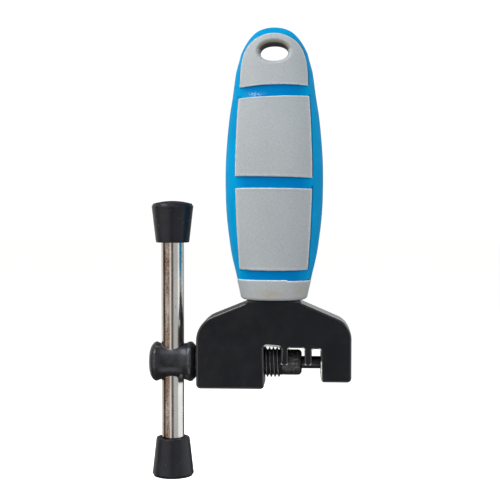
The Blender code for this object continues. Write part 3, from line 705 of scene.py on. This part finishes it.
def make_top_panel():
    """The top panel: front skin, back skin and the eye's soft lining in one piece."""
    low = TOP_PANEL_LOW.z
    corner = math.atan2(low + band_bend(panel_width(low), low), panel_width(low))
    angles = steps(corner, math.pi - corner, 150)[:-1] + steps(-math.pi - corner, corner, 70)[:-1]
    flare = 1.5
    flare_depth = 2.3
    loops = []
    for angle in angles:
        c = math.cos(angle)
        s = math.sin(angle)
        throat = eye_reach(angle)
        reach = panel_reach(angle)
        lip = throat + flare

        def skin(distance, lift):
            return surface_depth(distance * c, distance * s) + lift

        deepest = skin(lip, PANEL_PROUD) - flare_depth
        half = [(throat, deepest * share) for share in (0.0, 0.5)]
        for turn in steps(0.0, 80.0, 9):
            out = flare * (1.0 - math.cos(math.radians(turn)))
            up = flare_depth * math.sin(math.radians(turn))
            half.append((throat + out, deepest + up))
        inside = reach - 1.1
        for distance in steps(lip + 0.25, inside, 12):
            half.append((distance, skin(distance, PANEL_PROUD - BEAD)))
        for distance in reversed(near_edge(10.0, 1.0)):
            half.append((reach - distance, skin(reach - distance, edge_height(distance))))
        wall = throat + 0.7
        half += [(reach, skin(reach, -PANEL_DEPTH)), (wall, skin(wall, -PANEL_DEPTH))]
        front = [(distance * c, -y, distance * s) for distance, y in half]
        back = [(distance * c, y, distance * s) for distance, y in reversed(half)]
        loops.append(front + back)
    bm = loft(loops, close=True)
    skin_piece = piece("grip_top_skin", bm, "frame", "grip_top", GREY)

    def measure(co):
        angle = math.atan2(co.z, co.x)
        distance = math.hypot(co.x, co.z)
        if abs(co.y) < surface_depth(co.x, co.z) - 0.2:
            return 0.0
        # a whitish line along the edges, strongest on the lower one: partly moulding flash,
        # partly painted highlight
        inside = panel_reach(angle) - distance
        below = co.z < 0.0 and abs(co.x) < panel_width(co.z) - 0.5
        if below:
            return 1.0 - smooth_step(inside, 0.15, 0.5)
        return 0.7 * math.exp(-max(inside, 0.0) / SHADOW_REACH)

    def eye_ceiling(co):
        """0 in the eye's throat and 1 at its lip, on its upper half only."""
        throat = eye_reach(math.atan2(co.z, co.x))
        return (math.hypot(co.x, co.z) - throat) / flare if co.z > 0.9 else 1.0

    def lip_tan(co):
        return 0.85 * (1.0 - smooth_step(eye_ceiling(co), 0.25, 0.7))

    def throat_dark(co):
        return 0.9 * (1.0 - smooth_step(eye_ceiling(co), 0.02, 0.15))

    mark_edges(skin_piece, measure)
    mark_edges(skin_piece, lip_tan, "shade_and_tint")
    mark_edges(skin_piece, throat_dark, "shade")


def collar_drop(x, y):
    """How far the front of the collar's top edge lies below its plain height."""
    return COLLAR_STEP * smooth_step(x, STEP_START, STEP_END) if y < 0.0 else 0.0


def make_collar():
    top = COLLAR_HIGH.z
    bottom = COLLAR_LOW.z
    proud = 0.15
    small = 0.3
    large = 1.0
    profile = [(z, proud + grow) for z, grow in arc(top - small, -small, small, 0.0, 90.0, 6)]
    profile += [(z, proud) for z in steps(top - 0.8, bottom + 1.6, 8)]
    lower = arc(bottom + large, -large, large, 90.0, 180.0, 10)
    profile += [(z, proud + grow) for z, grow in lower]
    angles = steps(0.0, TAU, 240)[:-1]
    rings = []

    def section(half_x, half_y, z):
        """One ring. Its top edge is ragged, with a step down on the right."""
        fade = math.exp(-abs(top - z) / 0.8)
        ring = []
        for a in angles:
            x, y = oval(a, half_x, half_y, SECTION_POWER)
            lift = 0.06 * wobble(9.0, x * 1.4, y) - collar_drop(x, y)
            ring.append((x, y, z + fade * lift))
        return ring

    for z, grow in profile:
        rings.append(section(handle_width(z) + grow, handle_depth(z) + grow, z))
    floor = bottom + 1.5
    rings += [tang_ring(angles, z) for z in (bottom, floor)]
    for z in (floor, top):
        rings.append(section(handle_width(z) - COLLAR_WALL, handle_depth(z) - COLLAR_WALL, z))
    bm = loft(rings, close=True)
    collar = piece("collar_skin", bm, "frame", "grip_collar", GREY)

    def measure(co):
        inside = math.hypot(co.x / handle_width(co.z), co.y / handle_depth(co.z)) < 0.93
        below = top - collar_drop(co.x, co.y) - co.z
        # A whitish line along the top edge, and a painted highlight along the bottom edge.
        white = 0.0 if inside else 0.85 * (1.0 - smooth_step(below, 0.08, 0.36))
        return max(white, 0.4 * math.exp(-(co.z - bottom) / 0.3))

    mark_edges(collar, measure)

    def stained(co):
        """A faint brown mark low on the front, and a fainter one at its right end."""
        middle = blot(co, -0.8, bottom + 2.2, 4.5, 1.3)
        return 0.5 * middle + 0.3 * blot(co, 8.5, bottom + 3.0, 2.0, 2.5)

    mark_edges(collar, stained, "shade_and_tint")


make_core()
for face, side in (("front", -1.0), ("back", 1.0)):
    make_panel(f"grip_middle_{face}", MIDDLE_LOW.z, MIDDLE_HIGH.z, side)
    make_panel(f"grip_lower_{face}", PANEL_LOW.z, PANEL_HIGH.z, side)
make_top_panel()
make_collar()


# ---------------------------------------------------------------- body


def rounded_outline(corners, degrees_per_step):
    """Points (x, z, edge) round a closed outline of corners (x, z, radius, edge)."""
    points = []
    for i, (x, z, radius, edge) in enumerate(corners):
        here = Vector((x, z))
        back = (Vector(corners[i - 1][:2]) - here).normalized()
        ahead = (Vector(corners[(i + 1) % len(corners)][:2]) - here).normalized()
        half = back.angle(ahead) / 2.0
        centre = here + (back + ahead).normalized() * (radius / math.sin(half))
        first = here + back * (radius / math.tan(half)) - centre
        turn = math.pi - 2.0 * half
        side = back.x * ahead.y - back.y * ahead.x
        count = max(2, round(math.degrees(turn) / degrees_per_step))
        for part in steps(0.0, math.copysign(turn, -side), count):
            c = math.cos(part)
            s = math.sin(part)
            at = centre + Vector((first.x * c - first.y * s, first.x * s + first.y * c))
            points.append((at.x, at.y, edge))
    dense = []
    for i, (x, z, edge) in enumerate(points):
        dense.append((x, z, edge))
        next_x, next_z, next_edge = points[(i + 1) % len(points)]
        count = math.floor(math.hypot(next_x - x, next_z - z) / 0.8)
        for share in steps(0.0, 1.0, count + 1)[1:-1]:
            middle = (x + (next_x - x) * share, z + (next_z - z) * share)
            dense.append((*middle, edge + (next_edge - edge) * share))
    return dense


def rounded_plate(outline, half_depth, rounds):
    """A plate of this outline, its front and back edges rounded by each point's own radius."""
    inward = []
    for i, (x, z, _) in enumerate(outline):
        back = Vector((x, z)) - Vector(outline[i - 1][:2])
        ahead = Vector(outline[(i + 1) % len(outline)][:2]) - Vector((x, z))
        normal = back.normalized() + ahead.normalized()
        normal = Vector((normal.y, -normal.x)).normalized()
        lean = normal.dot(Vector((ahead.y, -ahead.x)).normalized())
        inward.append(normal / lean)
    rings = []
    for side in (-1.0, 1.0):
        turns = steps(0.0, 90.0, rounds)
        for turn in turns if side < 0.0 else reversed(turns):
            inset = 1.0 - math.sin(math.radians(turn))
            drop = 1.0 - math.cos(math.radians(turn))
            ring = []
            for (x, z, edge), n in zip(outline, inward):
                y = side * (half_depth - edge * drop)
                ring.append((x + n.x * edge * inset, y, z + n.y * edge * inset))
            rings.append(ring)
    return loft(rings)


def body_corners():
    """(x, z, corner radius, edge rounding), clockwise from the neck's left end."""
    edge = 0.6
    tooth = 0.5
    slot = 0.9
    half = BODY_HIGH.x
    neck = 8.8
    top = COLLAR_LOW.z - 0.3
    shoulder, start = 9.5, top - 0.85
    left_slope = math.tan(math.radians(22.0)) * (half - shoulder)
    right_slope = math.tan(math.radians(23.3)) * (half - shoulder)
    block_bottom = BODY_LOW.z
    first_left, first_right = FIRST_TOOTH
    second_left, second_right = SECOND_TOOTH
    return (
        (-shoulder, start, 0.8, edge), (-neck, top, 0.8, edge),
        (neck, top, 0.8, edge), (shoulder, start, 0.8, edge),
        (half, start - right_slope, 7.0, edge), (half, LEG_BOTTOM, 1.5, edge),
        (LEG_LEFT, LEG_BOTTOM, 1.3, edge), (LEG_LEFT, LEG_CEILING, 0.7, tooth),
        (second_right, LEG_CEILING, 0.7, tooth), (second_right, TOOTH_BOTTOM, 0.75, tooth),
        (second_left, TOOTH_BOTTOM, 0.75, tooth), (second_left, MIDDLE_CEILING, 0.8, tooth),
        (first_right, MIDDLE_CEILING, 0.8, tooth), (first_right, TOOTH_BOTTOM, 0.75, tooth),
        (first_left, TOOTH_BOTTOM, 0.75, tooth), (first_left, SLOT_CEILING - 0.4, 1.2, slot),
        (BLOCK_RIGHT, SLOT_CEILING, 0.9, slot), (BLOCK_RIGHT, block_bottom, 1.2, edge),
        (-half, block_bottom, 1.5, edge), (-half, start - left_slope, 8.7, edge),
    )


# Where highlights are painted on the corners of the teeth, and of the slots beside them.
TOOTH_CORNERS = (2.6, 4.5, 10.4, 12.2)
CEILING_CORNERS = ((4.9, -96.5), (10.0, -96.5), (12.6, -96.8), (15.2, -96.8))
LEG_HIGHLIGHT = (-107.2, -100.5)  # heights between which the leg's inner edge gets a painted highlight


def body_edge_highlights(co):
    """Painted highlights in a pale metal colour on the rounded edges of the slots, the teeth and
    the leg: 1 where a highlight is painted.
    """
    front = BODY_LOW.y
    if co.y < front + 0.03 or co.y > front + 1.0:
        return 0.0
    slot_edge = abs(co.z - SLOT_CEILING - 0.45) < 0.6 and BLOCK_RIGHT - 0.1 < co.x < 3.3
    if slot_edge:
        return 1.0 if abs(co.y - front - 0.4) < 0.35 else 0.0
    low, high = LEG_HIGHLIGHT
    if abs(co.x - LEG_LEFT - 0.2) < 0.3 and low < co.z < high and co.y < front + 0.45:
        return 0.9
    for x in TOOTH_CORNERS:
        if math.hypot(co.x - x, co.z - TOOTH_BOTTOM - 0.25) < 0.45 and co.y < front + 0.5:
            return 0.8
    for x, z in CEILING_CORNERS:
        if math.hypot(co.x - x, co.z - z - 0.15) < 0.5 and co.y < front + 0.5:
            return 0.9
    return 0.0


def slab(low, high):
    bm = bmesh.new()
    bmesh.ops.create_cube(bm, size=1.0)
    for vertex in bm.verts:
        vertex.co = [h if c > 0.0 else l for c, l, h in zip(vertex.co, low, high)]
    return bm


def make_body():
    half = BODY_HIGH.x
    plate = rounded_plate(rounded_outline(body_corners(), 5.0), BODY_HIGH.y, 8)
    body = piece("body_casting", plate, "frame", "tool_body", PAINT)
    angles = steps(0.0, TAU, 64)[:-1]
    tang = [tang_ring(angles, z, -BOND_GAP) for z in (COLLAR_LOW.z - 2.3, BODY_HIGH.z)]
    cut(body, loft(tang), operation="UNION")
    bore = THREAD_RADIUS + RUNNING_GAP
    mouth = bore + 0.7
    left = [(-half - 2.0, mouth), (-half, mouth), (-half + 0.7, bore)]
    left += [(BLOCK_RIGHT - 0.7, bore), (BLOCK_RIGHT, mouth), (BLOCK_RIGHT + 1.0, mouth)]
    anvil = [(LEG_LEFT - 0.9, 3.2), (LEG_LEFT, 3.2), (LEG_LEFT + 0.5, 2.6)]
    anvil += [(half - 0.5, 2.6), (half, 3.1), (half + 2.0, 3.1)]
    channel = slab((-2.2, -5.2, -105.0), (14.5, 5.2, -96.25))
    cut(body, turned(left), turned(anvil, sides=64), channel)
    shade(body, 40.0)
    weight_normals(body)
    mark_edges(body, body_edge_highlights)


make_body()


# ---------------------------------------------------------------- screw, pin and bar


def thread_radius(share):
    """The 60 degree thread form over one pitch, with a flat crest and a round root."""
    depth = 0.613 * PITCH
    crest = 1.0 / 16.0
    flank = 5.0 / 16.0
    root = 2.0 / 16.0
    share = share % 1.0
    from_crest = min(share, 1.0 - share)
    if from_crest < crest:
        return THREAD_RADIUS
    fall = (from_crest - crest) / flank
    if fall < 1.0:
        return THREAD_RADIUS - depth * fall
    turn = (from_crest - crest - flank) / root * math.pi / 2.0
    return THREAD_RADIUS - depth - 0.05 * math.sin(turn)


def make_thread(start, end):
    """The threaded length: a sheet whose rows follow the helix, clamped at its ends."""
    sides = 72
    per_pitch = 16
    bm = bmesh.new()
    rows = []
    count = per_pitch * math.ceil((end - start) / PITCH + 3)
    phase = -0.75
    for row in range(count + per_pitch):
        line = []
        for i in range(sides):
            turn = i / sides
            x = min(max(start - PITCH + PITCH * (row / per_pitch + turn + phase), start), end)
            radius = min(thread_radius(row / per_pitch), 4.15 + x - start, 4.25 + 3.0 * (end - x))
            angle = TAU * turn
            y = radius * math.cos(angle)
            line.append(bm.verts.new((x, y, SCREW_Z + radius * math.sin(angle))))
        rows.append(line)
    for row in range(count - 1):
        for i in range(sides):
            over = i + 1 == sides
            a, b = rows[row][i], rows[row + 1][i]
            c = rows[row + 1 + per_pitch][0] if over else rows[row + 1][i + 1]
            d = rows[row + per_pitch][0] if over else rows[row][i + 1]
            bm.faces.new((a, b, c, d))
    bmesh.ops.remove_doubles(bm, verts=bm.verts, dist=0.0001)
    loose = [vertex for vertex in bm.verts if not vertex.link_faces]
    bmesh.ops.delete(bm, geom=loose, context="VERTS")
    open_edges = [edge for edge in bm.edges if len(edge.link_faces) == 1]
    bmesh.ops.holes_fill(bm, edges=open_edges)
    return bm


def make_screw():
    left = SCREW_LOW.x
    right = left + HEAD_LENGTH
    flange = FLANGE_RADIUS
    waist = WAIST_RADIUS
    bm = make_thread(right + 1.5, 2.6)
    thread = piece("screw_thread", bm, "screw", None, OXIDE)
    mark_edges(thread, thread_wear_and_highlight)
    neck = [(right - 1.0, 4.15), (right + 1.6, 4.15)]
    piece("screw_neck", turned(neck), "screw", None, OXIDE)
    shoulder = CAP_LOW.x + 0.1
    spigot = [(2.3, 4.2), (shoulder, 4.2), (shoulder, 2.9), (5.3, 2.9), (5.6, 2.6)]
    piece("screw_spigot", turned(spigot), "screw", None, OXIDE)

    crest_left = left + 2.3
    crest_right = right - 2.1
    profile = [(left, 2.0), (left, 3.2), (left + 0.12, 4.0), (left + 0.4, 4.9), (left + 0.8, 5.6)]
    profile += [(left + 1.3, 6.15), (left + 1.8, 6.47)]
    for side in steps(-1.0, 1.0, 36):
        x = (crest_left + crest_right + side * (crest_right - crest_left)) / 2.0
        profile.append((x, waist + (flange - waist) * side**4))
    profile += [(right - 1.5, flange - 0.02), (right - 1.1, flange - 0.12)]
    profile += [(right - 0.9, flange - 0.35), (right - 0.2, flange - 1.1)]
    profile += [(right, flange - 1.4), (right, 4.0)]
    bm = turned(profile, sides=160)
    head = piece("screw_head", bm, "screw", "forcing_screw", OXIDE)
    radius = BAR_RADIUS + 0.08
    hole = [(SCREW_Z - 12.0, radius), (SCREW_Z + 12.0, radius)]
    cut(head, turned(hole, "z"))
    bevel = head.modifiers.new("bevel", "BEVEL")
    bevel.width = 0.22 * MM
    bevel.segments = 3
    bevel.limit_method = "ANGLE"
    bevel.angle_limit = math.radians(50.0)
    apply_modifiers(head)
    shade(head, 35.0)

    # partly wear, partly painted highlight: a faint line on the flange crests, and the upper left
    # edge of the bar's hole
    def head_wear_and_highlight(co):
        radius = math.hypot(co.y, co.z - SCREW_Z)
        crest = math.exp(-(((radius - flange) / 0.12) ** 2))
        saddle = math.hypot(co.x - HEAD_X, co.y) - BAR_RADIUS - 0.2
        upper_left = co.x < HEAD_X + 0.5 and co.z > SCREW_Z
        saddle_wear_and_highlight = math.exp(-((saddle / 0.22) ** 2)) if upper_left else 0.0
        return max(0.12 * crest, 0.6 * saddle_wear_and_highlight)

    mark_edges(head, head_wear_and_highlight)
    make_burr()


def make_burr():
    """The small lump left under the head, in front of the bar."""
    bm = bmesh.new()
    bmesh.ops.create_icosphere(bm, subdivisions=4, radius=1.0)
    centre = Vector((HEAD_X + 3.4, -4.35, SCREW_Z - 4.2))
    for vertex in bm.verts:
        grow = 1.0 + 0.25 * wobble(6.0, *(vertex.co * 1.7))
        x, y, z = vertex.co * grow
        vertex.co = centre + Vector((0.8 * x, 0.55 * y, 1.05 * z))
    piece("head_burr", bm, "screw", None, ROUGH)


# partly wear, partly painted highlight: lighter thread crests
def thread_wear_and_highlight(co):
    radius = math.hypot(co.y, co.z - SCREW_Z)
    return 0.9 * min(max((radius - THREAD_RADIUS + 0.12) / 0.12, 0.0), 1.0)


def make_pin_cap():
    nose = 1.3
    back = CAP_LOW.x
    end = CAP_HIGH.x
    radius = CAP_HIGH.y - 0.04
    profile = [(back, radius - 0.3), (back + 0.08, radius - 0.1), (back + 0.3, radius)]
    profile += [(x, radius) for x in steps(back + 0.5, end - nose - 0.2, 14)]
    profile += arc(end - nose, radius - nose, nose, 90.0, 0.0, 12)
    hole = PIN_RADIUS + RUNNING_GAP
    floor = end - 1.3
    profile += [(end, hole + 0.1), (end - 0.1, hole), (floor, hole), (floor, 3.2), (back, 3.2)]

    def ripple(x, turn):
        if x > end - 0.15:
            return 0.0
        return 0.06 * wobble(4.0, x * 2.2, 4.0 * math.cos(turn) * 2.2, 4.0 * math.sin(turn) * 2.2)

    bm = turned(profile, sides=144, close=True, ripple=ripple)
    piece("pin_cap_nose", bm, "screw", "pin_cap", ROUGH)


def make_pin():
    head_end = PIN_LOW.x + 1.6
    tip = PIN_HIGH.x
    head = PIN_HIGH.y
    radius = PIN_RADIUS
    profile = [(PIN_LOW.x, head - 0.3), (PIN_LOW.x + 0.3, head), (head_end, head)]
    profile += [(head_end, radius), (tip - 0.6, radius), (tip - 0.45, radius - 0.04)]
    profile += [(tip - 0.1, radius - 0.38), (tip, radius - 0.5)]
    piece("extractor_pin", turned(profile, sides=64), "drive_pin", "drive_pin", STEEL)


def make_bar():
    top = BAR_HIGH.z
    bottom = BAR_LOW.z
    profile = [(top, BAR_RADIUS - 0.5), (top - 0.5, BAR_RADIUS)]
    profile += [(z, BAR_RADIUS) for z in steps(top - 1.0, bottom + 1.0, 40)]
    profile += [(bottom + 0.5, BAR_RADIUS), (bottom, BAR_RADIUS - 0.5)]
    rod = piece("tommy_rod", turned(profile, "z"), "tommy_bar", "tommy_bar", CHROME)

    def reflection_strip(co):
        """A painted reflection: a brown strip down the bar's front left side."""
        around = math.degrees(math.atan2(co.x - HEAD_X, -co.y))
        return smooth_step(around, -56.0, -47.0) * (1.0 - smooth_step(around, -12.0, -5.0))

    mark_edges(rod, reflection_strip, "scuff_and_reflection")


def make_bar_cap(name, node, outer, inner):
    """Tapered end cap: outer is the height of its domed end, inner of its narrow end."""
    side = 1.0 if outer > inner else -1.0
    wide = 6.95
    narrow = 5.55
    dome_height = 1.5
    rim = outer - side * dome_height
    profile = []
    for share in steps(0.03, 0.93, 14):
        profile.append((outer - side * (0.72 * dome_height) * share * share, share * wide))
    turn_radius = 0.42
    for angle in steps(60.0, 0.0, 6):
        turn = math.radians(angle)
        z = rim - side * turn_radius + side * turn_radius * math.sin(turn)
        profile.append((z, wide - turn_radius + turn_radius * math.cos(turn)))
    for share in steps(0.06, 0.94, 10):
        profile.append((rim + (inner - rim) * share, wide + (narrow - wide) * share))
    lip = 0.35
    for angle in steps(0.0, 90.0, 6):
        turn = math.radians(angle)
        z = inner + side * lip * (1.0 - math.sin(turn))
        profile.append((z, narrow - lip + lip * math.cos(turn)))
    profile += [(inner + side * 0.02, narrow - 0.6), (inner + side * 0.35, 4.6)]
    profile += [(inner + side * 0.4, 4.2)]
    profile += [(inner + side * 0.28, BAR_RADIUS + 0.12), (inner + side * 0.5, BAR_RADIUS + 0.04)]
    profile += [(inner + side * 10.0, BAR_RADIUS + 0.04)]
    bm = turned(profile, "z", sides=128)
    piece(name, bm, "tommy_bar", node, PLASTIC)


make_screw()
make_pin_cap()
make_pin()
make_bar()
make_bar_cap("cap_upper", "bar_cap_upper", UPPER_HIGH.z, UPPER_LOW.z)
make_bar_cap("cap_lower", "bar_cap_lower", LOWER_LOW.z, LOWER_HIGH.z)


# ---------------------------------------------------------------- studio


def make_floor():
    """A pale floor below the tool, which neither shades nor tints it."""
    bm = bmesh.new()
    bmesh.ops.create_grid(bm, x_segments=2, y_segments=2, size=FLOOR_SIZE)
    mesh = bpy.data.meshes.new("floor")
    bm.to_mesh(mesh)
    bm.free()
    floor = bpy.data.objects.new("floor", mesh)
    floor.location.z = LOWER_LOW.z * MM - FLOOR_DROP
    floor.visible_diffuse = False
    floor.visible_glossy = False
    floor.visible_shadow = False
    bpy.context.scene.collection.objects.link(floor)
    n = Nodes("floor")
    n.set(Base_Color=(0.9, 0.9, 0.9), Roughness=0.9, Specular_IOR_Level=0.1)
    n.set(Emission_Color=(1.0, 1.0, 1.0), Emission_Strength=0.9)
    mesh.materials.append(n.material)


def direction(azimuth, elevation):
    """Azimuth 0 is in front of the tool, and a positive azimuth is towards +X."""
    a = math.radians(azimuth)
    e = math.radians(elevation)
    return Vector((math.sin(a) * math.cos(e), -math.cos(a) * math.cos(e), math.sin(e)))


def soft_light(name, azimuth, elevation, size, radiance, color=(1.0, 1.0, 1.0), glossy=True):
    """A soft box aimed at the tool. Where glossy is False it only fills, with no reflection."""
    data = bpy.data.lights.new(name, "AREA")
    data.shape = "RECTANGLE"
    data.size, data.size_y = size
    data.energy = radiance * math.pi * size[0] * size[1]
    data.color = color
    light = bpy.data.objects.new(name, data)
    light.visible_glossy = glossy
    bpy.context.scene.collection.objects.link(light)
    light.location = TOOL_MIDDLE + direction(azimuth, elevation) * LIGHT_DISTANCE
    light.rotation_euler = direction(azimuth, elevation).to_track_quat("Z", "Y").to_euler()


def make_world():
    """White to the camera. To the tool, a dim room, a little paler behind it."""
    world = bpy.data.worlds.new("studio")
    bpy.context.scene.world = world
    world.use_nodes = True
    tree = world.node_tree
    place = tree.nodes.new("ShaderNodeTexCoord")
    parts = tree.nodes.new("ShaderNodeSeparateXYZ")
    depth = tree.nodes.new("ShaderNodeMapRange")
    depth.inputs["From Min"].default_value = -0.2
    depth.inputs["From Max"].default_value = 0.7
    depth.inputs["To Min"].default_value = 0.10
    depth.inputs["To Max"].default_value = 0.13
    room = tree.nodes["Background"]
    room.inputs["Color"].default_value = (1.0, 0.96, 0.92, 1.0)
    backdrop = tree.nodes.new("ShaderNodeBackground")
    backdrop.inputs["Strength"].default_value = 1.05
    backdrop.inputs["Color"].default_value = (1.0, 1.0, 1.0, 1.0)
    path = tree.nodes.new("ShaderNodeLightPath")
    mixed = tree.nodes.new("ShaderNodeMixShader")
    tree.links.new(place.outputs["Generated"], parts.inputs["Vector"])
    tree.links.new(parts.outputs["Y"], depth.inputs["Value"])
    tree.links.new(depth.outputs["Result"], room.inputs["Strength"])
    tree.links.new(path.outputs["Is Camera Ray"], mixed.inputs["Fac"])
    tree.links.new(room.outputs["Background"], mixed.inputs[1])
    tree.links.new(backdrop.outputs["Background"], mixed.inputs[2])
    tree.links.new(mixed.outputs["Shader"], tree.nodes["World Output"].inputs["Surface"])


def make_camera(azimuth, elevation, distance, lens):
    back = direction(azimuth, elevation)
    camera = bpy.data.objects.new("camera", bpy.data.cameras.new("camera"))
    bpy.context.scene.collection.objects.link(camera)
    camera.data.lens = lens
    camera.data.sensor_width = 36.0
    camera.data.clip_start = 0.01
    camera.location = TOOL_MIDDLE + back * distance
    camera.rotation_euler = back.to_track_quat("Z", "Y").to_euler()
    bpy.context.scene.camera = camera


TOOL_MIDDLE = Vector((-0.00802, 0.0, -0.0646))
LIGHT_DISTANCE = 0.8
FLOOR_SIZE = 6.0
FLOOR_DROP = 0.12
WARM = (1.0, 0.96, 0.91)
COOL = (0.93, 0.97, 1.0)

make_floor()
make_world()
soft_light("left_box", -44.0, 8.0, (1.06, 1.3), 0.9, WARM)
soft_light("key", -62.0, 54.0, (0.3, 0.4), 8.0)
soft_light("right_front_box", 35.0, 2.0, (0.68, 1.1), 0.5)
soft_light("right_box", 92.0, 4.0, (1.05, 1.0), 1.1, COOL)
soft_light("right_key", 84.0, 26.0, (0.2, 0.3), 4.0, COOL)
soft_light("top_box", -20.0, 70.0, (0.6, 0.5), 1.4, COOL)
soft_light("back_left_box", -130.0, 6.0, (0.8, 1.0), 0.7, WARM)
soft_light("back_right_box", 153.0, 10.0, (0.85, 0.5), 0.3, COOL)
soft_light("low_box", -5.0, -50.0, (0.5, 0.4), 1.4)
soft_light("fill", -18.0, 30.0, (0.7, 0.6), 1.9, glossy=False)
soft_light("back_fill", 165.0, 25.0, (0.7, 0.6), 1.6, glossy=False)
make_camera(3.0, 2.3, 0.37, 80.35)
bpy.context.scene.view_settings.view_transform = "Standard"
